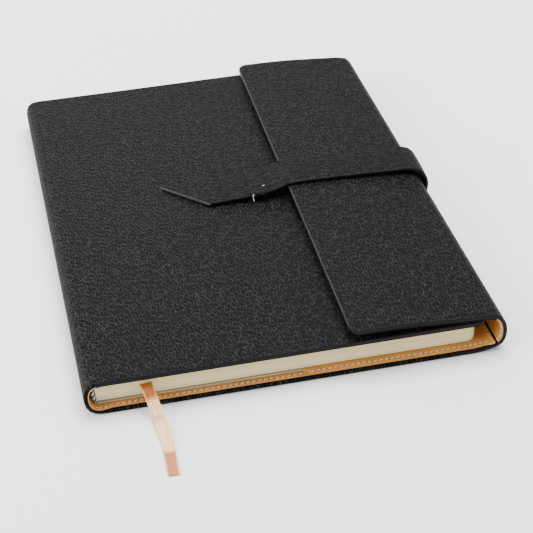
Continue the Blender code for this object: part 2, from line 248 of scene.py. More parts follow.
def wire_look(tree, shader, colour, rough, height, relief, strength):
    """Wires the colour, the roughness and a bump of this relief to the material's shader."""
    bump = add_node(tree, "ShaderNodeBump", {"Height": height, "Distance": relief, "Strength": strength})
    for socket, value in (("Base Color", colour), ("Roughness", rough), ("Normal", bump.outputs["Normal"])):
        tree.links.new(value, shader.inputs[socket])


# ---- shared effects


def pebble_grain_group():
    """Pressed pebbles parted by creases. Height is 1 on a pebble's crown and 0 down in the creases. The crease
    highlight output keeps only one side of the creases, the side that is painted as lit: a painted highlight.
    """
    group, given, out = new_group(
        "Pebble grain",
        [
            ("Vector", "NodeSocketVector", None),
            ("Pitch", "NodeSocketFloat", 700.0),
            ("Crease width", "NodeSocketFloat", 0.30),
        ],
        [("Height", "NodeSocketFloat"), ("Crease highlight", "NodeSocketFloat"), ("Cloud", "NodeSocketFloat")],
    )
    place = given.outputs["Vector"]
    centred = vector_maths(group, "SUBTRACT", noise_of(group, place, 260.0, 2.0)["Color"], (0.5, 0.5, 0.5))
    shift = vector_maths(group, "MULTIPLY", centred, (0.0022, 0.0022, 0.0))
    leant = stretched(group, vector_maths(group, "ADD", place, shift), (1.0, 0.50, 1.0), (0.0, 0.0, radians(10)))
    # An offset copy of the cells picks out one side of the creases, as if they were lit from that side: a painted
    # highlight.
    aside = vector_maths(group, "ADD", leant, (0.00013, 0.00002, 0.0))
    cells, beside = (
        add_node(
            group,
            "ShaderNodeTexVoronoi",
            {"Vector": vector, "Scale": given.outputs["Pitch"], "Randomness": 0.95},
            feature="DISTANCE_TO_EDGE",
            voronoi_dimensions="2D",
        ).outputs["Distance"]
        for vector in (leant, aside)
    )
    # This is 1 on the side of the creases that is painted as lit, for the painted highlight.
    lit_side = span(group, maths(group, "SUBTRACT", cells, beside), -0.01, 0.06, 0.03, 1.0)
    fine = maths(group, "MULTIPLY", noise_of(group, place, 2600.0, 2.0)["Fac"], 0.22)
    height = maths(group, "ADD", span(group, cells, 0.0, 0.34), fine)
    crease_highlight = span(group, cells, 0.015, given.outputs["Crease width"], 1.0, 0.0)
    patches = span(group, noise_of(group, place, 420.0, 1.0)["Fac"], 0.38, 0.58, 0.25, 1.0)
    crease_highlight = maths(group, "MULTIPLY", maths(group, "MULTIPLY", crease_highlight, patches), lit_side)
    group.links.new(height, out.inputs["Height"])
    group.links.new(crease_highlight, out.inputs["Crease highlight"])
    group.links.new(noise_of(group, place, 38.0, 3.0)["Fac"], out.inputs["Cloud"])
    return group


def fibre_group():
    """Fine matted fibres, as on split leather, board or paper."""
    group, given, out = new_group(
        "Fibres",
        [("Vector", "NodeSocketVector", None), ("Scale", "NodeSocketFloat", 900.0)],
        [("Height", "NodeSocketFloat"), ("Mottle", "NodeSocketFloat")],
    )
    place = given.outputs["Vector"]
    scale = given.outputs["Scale"]
    fine = noise_of(group, place, scale, 4.0, Roughness=0.65)
    coarse = noise_of(group, place, maths(group, "MULTIPLY", scale, 0.06), 3.0)
    group.links.new(fine["Fac"], out.inputs["Height"])
    group.links.new(coarse["Fac"], out.inputs["Mottle"])
    return group


PEBBLE_GRAIN = pebble_grain_group()
FIBRES = fibre_group()


# ---- materials


def grain_leather(name, pitch=700.0, lift=1.0):
    """Black leather with a pressed pebble grain. One side of the creases is painted lighter grey: a painted highlight.
    """
    made, tree, shader = new_material(name, Specular_IOR_Level=0.045)
    grain = use_group(tree, PEBBLE_GRAIN, Vector=place_vector(tree, True), Pitch=pitch)
    crown = mix_colour(tree, grain["Cloud"], (0.0005, 0.0005, 0.0006, 1.0), (0.0018, 0.0018, 0.0020, 1.0))
    # Painted highlight: the lit side of the creases is mixed toward light grey, and lift scales how bright it is.
    colour = mix_colour(tree, grain["Crease highlight"], crown, (0.050 * lift, 0.050 * lift, 0.052 * lift, 1.0))
    rough = span(tree, grain["Height"], 0.1, 1.1, 0.66, 0.50)
    wire_look(tree, shader, colour, rough, grain["Height"], 0.22 * MM, 1.0)
    return made


def painted_edge(name):
    """Edge paint in blue-black, a little glossy and not quite even."""
    made, tree, shader = new_material(name, Specular_IOR_Level=0.10)
    fibres = use_group(tree, FIBRES, Vector=place_vector(tree), Scale=700.0)
    colour = mix_colour(tree, fibres["Mottle"], (0.0022, 0.0025, 0.0040, 1.0), (0.0060, 0.0066, 0.0095, 1.0))
    rough = span(tree, fibres["Mottle"], 0.3, 0.7, 0.34, 0.48)
    wire_look(tree, shader, colour, rough, fibres["Height"], 0.05 * MM, 0.5)
    return made


def tan_leather(name, tone=1.0):
    """Smooth tan lining leather."""
    made, tree, shader = new_material(name, Specular_IOR_Level=0.35)
    fibres = use_group(tree, FIBRES, Vector=place_vector(tree), Scale=1100.0)
    light = (0.55 * tone, 0.255 * tone, 0.060 * tone, 1.0)
    dark = (0.46 * tone, 0.205 * tone, 0.044 * tone, 1.0)
    colour = mix_colour(tree, span(tree, fibres["Mottle"], 0.3, 0.7), dark, light)
    rough = span(tree, fibres["Height"], 0.3, 0.7, 0.52, 0.68)
    wire_look(tree, shader, colour, rough, fibres["Height"], 0.06 * MM, 0.6)
    return made


def page_paper(name):
    """Cream paper: the leaves' edges show as fine level lines."""
    made, tree, shader = new_material(name, Specular_IOR_Level=0.25)
    place = place_vector(tree)
    lines = noise_of(tree, stretched(tree, place, (9.0, 9.0, 5200.0)), 1.0, 2.0)["Fac"]
    bands = noise_of(tree, stretched(tree, place, (5.0, 5.0, 900.0)), 1.0, 1.0)["Fac"]
    fibres = use_group(tree, FIBRES, Vector=place, Scale=1500.0)
    base = mix_colour(tree, span(tree, bands, 0.35, 0.65), (0.60, 0.505, 0.255, 1.0), (0.72, 0.63, 0.365, 1.0))
    shade = maths(tree, "MULTIPLY", span(tree, lines, 0.30, 0.52, 1.0, 0.0), 0.5)
    colour = mix_colour(tree, shade, base, (0.42, 0.35, 0.21, 1.0))
    rough = span(tree, fibres["Height"], 0.3, 0.7, 0.74, 0.90)
    height = maths(tree, "ADD", lines, maths(tree, "MULTIPLY", fibres["Height"], 0.3))
    wire_look(tree, shader, colour, rough, height, 0.07 * MM, 0.6)
    return made


def fibre_board(name, dark, light, rough):
    """Matted fibres in two tones: card, cloth or a cut edge."""
    made, tree, shader = new_material(name, Specular_IOR_Level=0.3)
    fibres = use_group(tree, FIBRES, Vector=place_vector(tree), Scale=800.0)
    colour = mix_colour(tree, fibres["Mottle"], (*dark, 1.0), (*light, 1.0))
    rough = span(tree, fibres["Height"], 0.3, 0.7, rough - 0.08, rough + 0.06)
    wire_look(tree, shader, colour, rough, fibres["Height"], 0.06 * MM, 0.5)
    return made


def thread_material(name, dark, light):
    """Twisted thread: fine slanting plies, painted darker in the grooves between them as painted shade."""
    made, tree, shader = new_material(name, Specular_IOR_Level=0.3)
    turned = stretched(tree, place_vector(tree), (1.0, 1.0, 1.0), (0.5, 0.6, 0.7))
    wave = {"Vector": turned, "Scale": 900.0, "Distortion": 1.5}
    plies = add_node(tree, "ShaderNodeTexWave", wave, bands_direction="X").outputs["Fac"]
    # Painted shade: the grooves between the plies take the darker tone.
    colour = mix_colour(tree, plies, (*dark, 1.0), (*light, 1.0))
    wire_look(tree, shader, colour, span(tree, plies, 0.0, 1.0, 0.75, 0.6), plies, 0.05 * MM, 0.6)
    return made


def striped_silk(name):
    """The headband's wound silk, white and navy in turn. U runs along the band, V round it."""
    made, tree, shader = new_material(name, Specular_IOR_Level=0.4)
    parts = add_node(tree, "ShaderNodeSeparateXYZ", {"Vector": place_vector(tree, True)}).outputs
    run = maths(tree, "ADD", parts["X"], maths(tree, "MULTIPLY", parts["Y"], 0.9))
    turn = maths(tree, "FRACT", maths(tree, "MULTIPLY", run, 1 / (2.3 * MM)))
    navy = maths(tree, "MULTIPLY", span(tree, turn, 0.44, 0.50), span(tree, turn, 0.93, 0.99, 1.0, 0.0))
    fine = maths(tree, "PINGPONG", maths(tree, "MULTIPLY", run, 1 / (0.18 * MM)), 1.0)
    colour = mix_colour(tree, navy, (0.46, 0.45, 0.44, 1.0), (0.008, 0.013, 0.070, 1.0))
    wire_look(tree, shader, colour, span(tree, fine, 0.0, 1.0, 0.62, 0.45), fine, 0.05 * MM, 0.7)
    return made


def copper_satin(name):
    """Satin ribbon: a fine rib across it and paler along its selvedges. Its sheen is painted into the colour: a paler
    stretch along it is a painted highlight, and a darker band at its bend is painted shade.
    """
    made, tree, shader = new_material(name, Specular_IOR_Level=0.35, Sheen_Weight=0.08, Sheen_Roughness=0.35)
    place = place_vector(tree, True)
    parts = add_node(tree, "ShaderNodeSeparateXYZ", {"Vector": place}).outputs
    rib = maths(tree, "PINGPONG", maths(tree, "MULTIPLY", parts["X"], 1 / (0.16 * MM)), 1.0)
    streaks = noise_of(tree, stretched(tree, place, (110.0, 4.5, 1.0)), 1.0, 2.0)["Fac"]
    ragged = maths(tree, "ADD", parts["X"], maths(tree, "MULTIPLY", streaks, 0.004))
    # Painted highlight: the stretch of ribbon that catches the satin's sheen turns pale peach.
    painted_sheen = maths(tree, "MULTIPLY", span(tree, ragged, 0.0075, 0.0105), span(tree, ragged, 0.0345, 0.0365, 1.0, 0.04))
    # Painted shade: a darker band where the ribbon bends.
    bend_shade = maths(tree, "MULTIPLY", span(tree, ragged, 0.0155, 0.0172), span(tree, ragged, 0.0172, 0.0195, 1.0, 0.0))
    painted_sheen = maths(tree, "SUBTRACT", painted_sheen, maths(tree, "MULTIPLY", bend_shade, 0.55))
    warm = mix_colour(tree, painted_sheen, (0.38, 0.092, 0.010, 1.0), (0.98, 0.62, 0.32, 1.0))
    side = maths(tree, "ABSOLUTE", parts["Y"])
    selvedge = maths(tree, "MULTIPLY", span(tree, side, 0.70, 0.86), 0.45)
    warm = mix_colour(tree, selvedge, warm, (0.94, 0.56, 0.27, 1.0))
    shade = maths(tree, "MULTIPLY", span(tree, streaks, 0.42, 0.62), 0.42)
    colour = mix_colour(tree, shade, warm, (0.56, 0.20, 0.045, 1.0))
    wire_look(tree, shader, colour, span(tree, streaks, 0.3, 0.7, 0.30, 0.44), rib, 0.03 * MM, 0.6)
    return made


def floor_paper(name):
    made, tree, shader = new_material(name, Specular_IOR_Level=0.2, Roughness=0.9)
    fibres = use_group(tree, FIBRES, Vector=place_vector(tree), Scale=300.0)
    colour = mix_colour(tree, fibres["Mottle"], (0.90, 0.90, 0.90, 1.0), (0.93, 0.93, 0.93, 1.0))
    tree.links.new(colour, shader.inputs["Base Color"])
    return made


GRAIN = grain_leather("black_pebbled_leather")
# The strap's painted crease highlight is a little dimmer (lift 0.9).
STRAP_GRAIN = grain_leather("black_pebbled_leather_strap", pitch=820.0, lift=0.9)
EDGE = painted_edge("blue_black_edge_paint")
# A painted glint, lighter than the edge paint, for the lit top arris of the flap's free edge and the keeper's lit
# edges.
ARRIS_GLINT = fibre_board("arris_painted_glint", (0.003, 0.003, 0.004), (0.014, 0.0145, 0.016), 0.6)
RAW_EDGE = fibre_board("raw_cut_edge", (0.012, 0.0115, 0.010), (0.060, 0.058, 0.052), 0.7)
TAN = tan_leather("tan_lining_leather")
TAN_EDGE = tan_leather("tan_cut_edge", tone=1.12)
PAPER = page_paper("cream_leaves")
CARD = fibre_board("cream_refill_card", (0.50, 0.42, 0.28), (0.62, 0.54, 0.38), 0.8)
# Near-black spine cloth that also stands in for the shade in the hollow behind the block: painted shade.
CLOTH_SHADE = fibre_board("spine_cloth_painted_shade", (0.010, 0.008, 0.006), (0.028, 0.022, 0.018), 0.9)
# Painted shade for the needle holes.
HOLE_SHADE = fibre_board("needle_hole_shade", (0.060, 0.026, 0.010), (0.120, 0.050, 0.018), 0.9)
THREAD = thread_material("waxed_cream_thread", (0.50, 0.42, 0.30), (0.86, 0.80, 0.68))
SILK = striped_silk("navy_white_silk")
SATIN = copper_satin("copper_satin")
FLOOR = floor_paper("pale_floor")


# ---- mesh helpers


def share_of(value, start, length):
    """How far value is past start, as a share of length from 0 to 1."""
    return min(max((value - start) / length, 0.0), 1.0)


def eased(share):
    return share * share * (3 - 2 * share)


def rim_inset(distance, radius):
    """How far a rounded rim or corner falls back, this far in from its edge."""
    if distance >= radius:
        return 0.0
    return radius - sqrt(max(radius**2 - (radius - distance) ** 2, 0.0))


def prism_faces(base, sides, rings):
    """The faces of a closed bar through rings + 1 rings of points, the first of which starts at base."""
    faces = []
    for i in range(rings):
        for k in range(sides):
            a, b = base + i * sides + k, base + i * sides + (k + 1) % sides
            faces.append((a, b, b + sides, a + sides))
    faces.append(tuple(base + k for k in reversed(range(sides))))
    faces.append(tuple(base + rings * sides + k for k in range(sides)))
    return faces


def finish_mesh(name, points, faces, looks, indices=None, uvs=None, sharp=40):
    mesh = bpy.data.meshes.new(name)
    mesh.from_pydata(points, [], faces)
    for look in looks:
        mesh.materials.append(look)
    if indices is not None:
        mesh.polygons.foreach_set("material_index", indices)
    if uvs is not None:
        layer = mesh.uv_layers.new(name="cut")
        for loop in mesh.loops:
            layer.data[loop.index].uv = uvs[loop.vertex_index]
    mesh.shade_smooth()
    mesh.set_sharp_from_angle(angle=radians(sharp))
    mesh.update()
    obj = bpy.data.objects.new(name, mesh)
    bpy.context.scene.collection.objects.link(obj)
    return obj


def shell(name, rows, looks, ends=(True, True), closed=False):
    """A sheet with thickness. Each row holds (outer point, inner point, place on the cut piece, on the rim).

    looks are the materials of the outer face, the rim and the inner face. ends says whether the first and the
    last column are cut edges. closed joins the last column to the first."""
    count, columns = len(rows), len(rows[0])
    points = [spot[0] for row in rows for spot in row] + [spot[1] for row in rows for spot in row]
    mapped = [spot[2] for row in rows for spot in row] * 2
    inner = count * columns
    faces, indices = [], []

    def at(j, k):
        return j * columns + k % columns

    last = columns if closed else columns - 1
    for j in range(count - 1):
        for k in range(last):
            a, b, c, d = at(j, k), at(j, k + 1), at(j + 1, k + 1), at(j + 1, k)
            rim = all(rows[m][n % columns][3] for m in (j, j + 1) for n in (k, k + 1))
            faces += [(a, b, c, d), (inner + d, inner + c, inner + b, inner + a)]
            indices += [1, 1] if rim else [0, 2]
    for k in range(last):
        for a, b in ((at(0, k + 1), at(0, k)), (at(count - 1, k), at(count - 1, k + 1))):
            faces.append((a, b, inner + b, inner + a))
            indices.append(1)
    for j in range(0 if closed else count - 1):
        for is_cut, a, b in ((ends[0], at(j, 0), at(j + 1, 0)), (ends[1], at(j + 1, columns - 1), at(j, columns - 1))):
            if is_cut:
                faces.append((a, b, inner + b, inner + a))
                indices.append(1)
    return finish_mesh(name, points, faces, looks, indices, mapped)


def repaint(obj, look, chosen):
    """Gives another look to the faces whose middle is chosen."""
    mesh = obj.data
    mesh.materials.append(look)
    for face in mesh.polygons:
        if chosen(face.center):
            face.material_index = len(mesh.materials) - 1


def between(a, b, start, end, t):
    """The point at t on the straight line that is at a when t is start and at b when t is end."""
    return ((end - t) * a + (t - start) * b) / (end - start)


def smooth_curve(points, steps):
    """A centripetal Catmull-Rom curve through 2D or 3D points, steps to each stretch."""
    points = [np.array(p, float) for p in points]
    points = [2 * points[0] - points[1], *points, 2 * points[-1] - points[-2]]
    out = []
    for a, b, c, d in zip(points, points[1:], points[2:], points[3:]):
        t0 = 0.0
        t1 = t0 + np.linalg.norm(b - a) ** 0.5
        t2 = t1 + np.linalg.norm(c - b) ** 0.5
        t3 = t2 + np.linalg.norm(d - c) ** 0.5
        for i in range(steps):
            t = t1 + (t2 - t1) * i / steps
            ab, bc, cd = between(a, b, t0, t1, t), between(b, c, t1, t2, t), between(c, d, t2, t3, t)
            out.append(between(between(ab, bc, t0, t2, t), between(bc, cd, t1, t3, t), t1, t2, t))
    out.append(points[-2])
    return np.array(out)


def lengths_along(curve):
    steps = np.linalg.norm(np.diff(curve, axis=0), axis=1)
    return np.concatenate([[0.0], np.cumsum(steps)])


FINE = [0.0, 0.06 * MM, 0.2 * MM, 0.4 * MM, 0.6 * MM, 1.1 * MM, 2.0 * MM, 3.2 * MM, 4.6 * MM]


def spaced(start, end, step, fine_start, fine_end, count=None):
    """Distances from start to end, close together near the fine ends. count sets how many there are."""
    head = [start + d for d in FINE] if fine_start else [start, start + 0.15 * MM]
    tail = [end - d for d in FINE[::-1]] if fine_end else [end - 0.15 * MM, end]
    inside = count - len(head) - len(tail) + 1 if count else max(int((tail[0] - head[-1]) / step), 1)
    middle = [head[-1] + (tail[0] - head[-1]) * i / inside for i in range(1, inside)]
    return head + middle + tail


def stations():
    """Places across the cover as (share of the half length, distance), close together near tail and head."""
    count = int(2 * HALF_COVER / (6 * MM))
    room = 1 - FINE[-1] / HALF_COVER
    middle = [(-room + 2 * room * i / count, 0.0) for i in range(1, count)]
    return [(-1.0, d) for d in FINE] + middle + [(1.0, -d) for d in FINE[::-1]]


ACROSS = stations()


# ---- the wrap: one hide, seen from its tail end

TAIL_SPINE_BULGE = 5.2 * MM
HEAD_SPINE_BULGE = 3.5 * MM
HEAD_LEAN = -6.2 * MM
WALL_TURN = 15.0 * MM
WRAP_STEPS = 14

# The deepest a rim may fall back, as a share of its layer's thickness
DEEPEST_RIM = 0.46

# Where on the grain's pattern the strap and the keeper are cut, so that they don't repeat the hide's
STRAP_PATCH = 0.4
KEEPER_PATCH = 0.9


def wrap_controls(head_share):
    """The hide's grain side from the flap's free edge, round the fore edge, back and spine to the front's edge.

    Returns the points as (x, z), and the places of the seams and of the slot in the lining among them."""
    lean = HEAD_LEAN * head_share
    bulge = TAIL_SPINE_BULGE + (HEAD_SPINE_BULGE - TAIL_SPINE_BULGE) * head_share
    flap = [
        (FREE_EDGE, FLAP_RISE + 0.5 * MM),
        (FREE_EDGE + 20 * MM, FLAP_RISE + 0.25 * MM),
        (FREE_EDGE + 40 * MM, FOLD_TOP + 1.0 * MM),
        (FOLD - 8 * MM + 0.5 * lean, FOLD_TOP + 0.2 * MM),
        (FOLD - 3 * MM + 0.8 * lean, FOLD_TOP - 0.05 * MM),
    ]
    fore = [
        (FOLD + 0.6 * MM + lean, FOLD_TOP - 0.9 * MM),
        (FOLD + 3.0 * MM + lean, FOLD_TOP - 3.2 * MM),
        (FOLD + 4.1 * MM + lean, FOLD_TOP - 5.8 * MM),
        (FOLD + 4.4 * MM + lean, 0.5 * FOLD_TOP),
        (FOLD + 3.9 * MM + lean, 5.6 * MM),
        (FOLD + 2.6 * MM + 0.95 * lean, 3.3 * MM),
        (FOLD + 0.6 * MM + 0.8 * lean, 1.9 * MM),
        (FOLD - 2.5 * MM + 0.6 * lean, 1.0 * MM),
        (FOLD - 6.0 * MM + 0.4 * lean, 0.35 * MM),
        (FOLD - 10.0 * MM + 0.2 * lean, 0.0),
        (FOLD - WALL_TURN, 0.0),
    ]
    back = [
        (FOLD - 60.0 * MM, 0.0),
        (SHOULDER + 40.0 * MM, 0.0),
        (SHOULDER + 8.0 * MM, 0.0),
        (SHOULDER + 2.5 * MM, 0.05 * MM),
        (SHOULDER - 0.25 * bulge, 0.55 * MM),
        (SHOULDER - 0.66 * bulge, 2.1 * MM),
        (SHOULDER - 0.93 * bulge, 4.6 * MM),
    ]
    front = [
        (SHOULDER - bulge, 0.52 * COVER_TOP),
        (SHOULDER - 0.92 * bulge, 0.72 * COVER_TOP),
        (SHOULDER - 0.62 * bulge, 0.885 * COVER_TOP),
        (SHOULDER - 0.10 * bulge, COVER_TOP - 0.35 * MM),
        (SHOULDER + 2.2 * MM, COVER_TOP),
        (SHOULDER + 8.0 * MM, COVER_TOP),
        (SHOULDER + 50.0 * MM, COVER_TOP),
        (FORE_END - 1.5 * MM * head_share, COVER_TOP),
    ]
    marks = {
        "free_edge": 0,
        "fore_seam": len(flap),
        "slot": len(flap) + 6,
        "back_seam": len(flap) + len(fore) - 1,
        "spine_seam": len(flap) + len(fore) + len(back) + 3,
        "front_edge": len(flap) + len(fore) + len(back) + len(front) - 1,
    }
    return flap + fore + back + front, marks


class Profile:
    """A curve across the book, with the length run along it and the normals of its grain side."""

    def __init__(self, curve):
        self.curve = curve
        self.run = lengths_along(curve)
        along = np.gradient(curve, axis=0)
        along /= np.linalg.norm(along, axis=1)[:, None]
        self.left = np.stack([-along[:, 1], along[:, 0]], axis=1)

    def at(self, s):
        """x and z of the point s along, and the normal's x and z."""
        x, z, nx, nz = (np.interp(s, self.run, row) for row in (*self.curve.T, *self.left.T))
        return x, z, nx, nz

    def unit_at(self, s):
        x, z, nx, nz = self.at(s)
        size = hypot(nx, nz)
        return x, z, nx / size, nz / size


def wrap_profile(head_share):
    controls, marks = wrap_controls(head_share)
    curve = smooth_curve(controls, WRAP_STEPS)
    curve[:, 1] = np.maximum(curve[:, 1], 0.0)
    profile = Profile(curve)
    places = {name: profile.run[index * WRAP_STEPS] for name, index in marks.items()}
    places["lip"] = places["back_seam"] + FOLD - WALL_TURN - POCKET_LIP
    return profile, places


def half_at(z):
    """Half the hide's length: the back runs past the front and the flap."""
    return HALF_BACK - LEDGE * eased(share_of(z, 1.5 * MM, COVER_TOP - 3.5 * MM))


def back_ledge(x, z):
    """How much further in the lining's edge lies over the back panel, whose hide is turned there."""
    flat = share_of(x, SHOULDER + 3.0 * MM, 1.0 * MM) * share_of(-x, 1.0 * MM - FOLD, 3.0 * MM)
    return 0.85 * MM * eased(flat) * share_of(-z, -5.0 * MM, 2.0 * MM)


def soft_waves(x, y, size):
    return size * noise.noise(Vector((x * 22.0, y * 16.0, 3.7)))


def wrap_piece(name, first, last, depth, thickness, looks, trim=0.0, cut=(False, False), corner=0.0, shifts=(0.0, 0.0),
               swell=None, step=5 * MM, wavy=0.0, painted=0.8):
    """A layer of the wrap between two marks, depth inside the grain side.

    cut says which ends are cut edges, corner is the radius of the cut end's corners, and shifts moves the ends.
    painted is how far in from a cut edge the rim's look reaches, as a share of the rim's radius."""
    rim = LINING_RIM if depth else RIM
    rows, count = [], None
    for share, distance in ACROSS:
        y0 = share * HALF_COVER + distance
        profile, marks = wrap_profile(0.5 + 0.5 * y0 / HALF_COVER)
        back_off = rim_inset(HALF_COVER - abs(y0), corner)
        start = marks[first] + shifts[0] + (trim + back_off if cut[0] else 0.0)
        end = marks[last] + shifts[1] - (trim + back_off if cut[1] else 0.0)
        places = spaced(start, end, step, *cut, count)
        count = len(places)
        row = []
        for s in places:
            x, z, nx, nz = profile.unit_at(s)
            half = half_at(z) - trim - (back_ledge(x, z) if depth else 0.0)
            y = share * half + distance
            gap = min([half - abs(y)] + [gone for is_cut, gone in zip(cut, (s - start, end - s)) if is_cut])
            inset = min(rim_inset(gap, rim), DEEPEST_RIM * thickness)
            lift = (swell(x, y) if swell else 0.0) + (soft_waves(x, y, wavy) if wavy else 0.0)
            out, inn = depth + inset - lift, depth + thickness - inset - lift
            outer, inner = (x - nx * out, y, z - nz * out), (x - nx * inn, y, z - nz * inn)
            row.append((outer, inner, (s, y), gap <= rim * painted))
        rows.append(row)
    return shell(name, rows, looks, ends=cut)


def add_hide():
    looks = (GRAIN, EDGE, GRAIN)
    flap = wrap_piece("flap_hide", "free_edge", "fore_seam", 0.0, LEATHER, looks, cut=(True, False),
                      corner=4.5 * MM, wavy=0.12 * MM)
    # Painted glint along the lit top arris of the flap's free edge.
    repaint(flap, ARRIS_GLINT, lambda c: c.x < FREE_EDGE + 0.32 * MM and c.z > FLAP_RISE - 0.2 * MM)
    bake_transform(flap)
    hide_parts("flap_leather", "flap_stiffener")
    wall = wrap_piece("fore_edge_hide", "fore_seam", "back_seam", 0.0, LEATHER, looks, step=1.6 * MM)
    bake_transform(wall)
    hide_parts("fore_edge_leather")
    back = wrap_piece("back_hide", "back_seam", "spine_seam", 0.0, LEATHER, (GRAIN, GRAIN, GRAIN), step=2.4 * MM)
    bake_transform(back)
    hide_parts("back_leather", "back_stiffener", "spine_leather")
    front = wrap_piece("front_hide", "spine_seam", "front_edge", 0.0, LEATHER, looks, cut=(False, True),
                       corner=3.0 * MM, step=2.4 * MM, wavy=0.10 * MM)
    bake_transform(front)
    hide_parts("front_leather", "front_stiffener")


def fore_curl(x, y):
    """The back panel's layers stand off the wall a little toward their cut end."""
    return -0.55 * MM * share_of(x, FOLD - 4.0 * MM, 5.0 * MM) ** 2


def add_lining():
    looks = (TAN, TAN_EDGE, TAN)
    depth = LEATHER + 0.05 * MM
    trim = 0.3 * MM
    flap = wrap_piece("flap_lining_sheet", "free_edge", "fore_seam", depth, LINING, (TAN, EDGE, TAN), trim=0.12 * MM,
                      cut=(True, False), corner=4.5 * MM, painted=2.4)
    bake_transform(flap)
    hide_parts("flap_lining")
    wall = wrap_piece("fore_edge_lining_sheet", "fore_seam", "slot", depth, LINING, looks, trim=trim,
                      cut=(False, True), step=1.6 * MM, shifts=(0.0, -0.40 * MM))
    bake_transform(wall)
    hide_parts("fore_edge_lining")
    fore_back = wrap_piece("back_lining_fore", "slot", "back_seam", depth, LINING, looks, trim=trim,
                           cut=(True, False), step=1.6 * MM, shifts=(0.1 * MM, 0.0),
                           swell=fore_curl)
    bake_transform(fore_back)
    back = wrap_piece("back_lining_sheet", "back_seam", "spine_seam", depth, LINING, looks, trim=trim,
                      step=2.4 * MM)
    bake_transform(back)
    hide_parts("back_lining", "spine_lining")
    front = wrap_piece("front_lining_sheet", "spine_seam", "front_edge", depth, LINING, (TAN, EDGE, TAN), trim=0.2 * MM,
                       cut=(False, True), corner=3.0 * MM, step=2.4 * MM, painted=1.2)
    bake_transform(front)
    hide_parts("front_lining")


def pocket_swell(x, y):
    """The pocket panel lies on the lining at its sewn edges and over the refill's card between them."""
    inside = share_of(-abs(y), -HALF_PAGE - 1.2 * MM, 1.4 * MM)
    over_card = min(inside, share_of(-x, -PAGE_END - 2.0 * MM, 2.5 * MM))
    bead = 0.22 * MM * max(1 - abs(x - POCKET_LIP - 0.9 * MM) / (0.9 * MM), 0.0)
    return -0.75 * MM * eased(over_card) - bead + fore_curl(x, y)


def add_pocket():
    depth = LEATHER + LINING + 0.1 * MM
    panel = wrap_piece("back_pocket_panel", "slot", "lip", depth, 0.45 * MM, (TAN, TAN_EDGE, TAN), trim=0.35 * MM,
                       cut=(True, True), step=3.0 * MM, shifts=(0.25 * MM, 0.5 * MM),
                       swell=pocket_swell)
    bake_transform(panel)
    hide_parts("back_pocket")


# ---- stitches


STITCH_PITCH = 2.3 * MM
STITCH_LENGTH = 1.75 * MM
STITCH_WIDTH = 0.50 * MM
STITCH_SLANT = 20.0


def wrap_point(mark, run_on, y, depth):
    """A point depth inside the grain side, run_on past a mark, and the normals out of the hide and along it."""
    profile, marks = wrap_profile(share_of(y, -HALF_COVER, 2 * HALF_COVER))
    x, z, nx, nz = profile.at(marks[mark] + run_on)
    normal = Vector((nx, 0.0, nz)).normalized()
    along = Vector((normal.z, 0.0, -normal.x))
    return Vector((x, y, z)) - normal * depth, normal, along


def stitch_row(name, seats):
    """Short slanting stitches and their needle holes, whose dark brown discs are painted shade. seats are (place, way
    along the row, way out of the surface).
    """
    points, faces, indices = [], [], []
    rings, sides = 6, 6
    slant = radians(STITCH_SLANT)
    for place, along, out in seats:
        across = out.cross(along).normalized()
        turned = (along * cos(slant) + across * sin(slant)).normalized()
        flat = out.cross(turned).normalized()
        base = len(points)
        for i in range(rings + 1):
            t = -1 + 2 * i / rings
            width = STITCH_WIDTH / 2 * sqrt(max(1 - abs(t) ** 3, 0.02))
            centre = place + turned * (t * STITCH_LENGTH / 2) + out * (0.10 * MM - 0.16 * MM * t * t)
            for k in range(sides):
                angle = 2 * pi * k / sides
                points.append(tuple(centre + flat * (width * cos(angle)) + out * (0.62 * width * sin(angle))))
        faces += prism_faces(base, sides, rings)
        indices += [0] * (rings * sides + 2)
        base = len(points)
        # Needle hole: a dark brown disc set into the surface as painted shade in the hole.
        hole = place + along * (STITCH_PITCH / 2)
        for level in (-0.3 * MM, 0.035 * MM):
            for k in range(sides):
                angle = 2 * pi * k / sides
                points.append(
                    tuple(hole + along * (0.34 * MM * cos(angle)) + across * (0.25 * MM * sin(angle)) + out * level)
                )
        faces += prism_faces(base, sides, 1)
        indices += [1] * (sides + 2)
    return finish_mesh(name, points, faces, [THREAD, HOLE_SHADE], indices, sharp=70)


def count_of(length):
    return max(int(length / STITCH_PITCH), 1)


def seats_along(mark, start, end, side, depth, inset):
    """Seats for a row that runs with the hide's curve, from start to end past a mark, at side -1 or 1 of the cover."""
    seats = []
    count = count_of(end - start)
    for i in range(count + 1):
        run_on = start + (end - start) * i / count
        place = wrap_point(mark, run_on, side * HALF_COVER, depth)[0]
        y = side * (half_at(place.z) - back_ledge(place.x, place.z) - inset)
        place, normal, along = wrap_point(mark, run_on, y, depth)
        seats.append((place, along, -normal))
    return seats


def seats_across(mark, run_on, depth, half, swell=None):
    """Seats for a row that runs from the tail to the head, run_on past a mark."""
    seats = []
    count = count_of(2 * half)
    for i in range(count + 1):
        y = -half + 2 * half * i / count
        place, normal, _ = wrap_point(mark, run_on, y, depth)
        if swell:
            place = place + normal * swell(place.x, y)
        seats.append((place, Vector((0.0, 1.0, 0.0)), -normal))
    return seats


def both_ends(mark, start, end, depth, inset):
    return [seat for side in (-1, 1) for seat in seats_along(mark, start, end, side, depth, inset)]


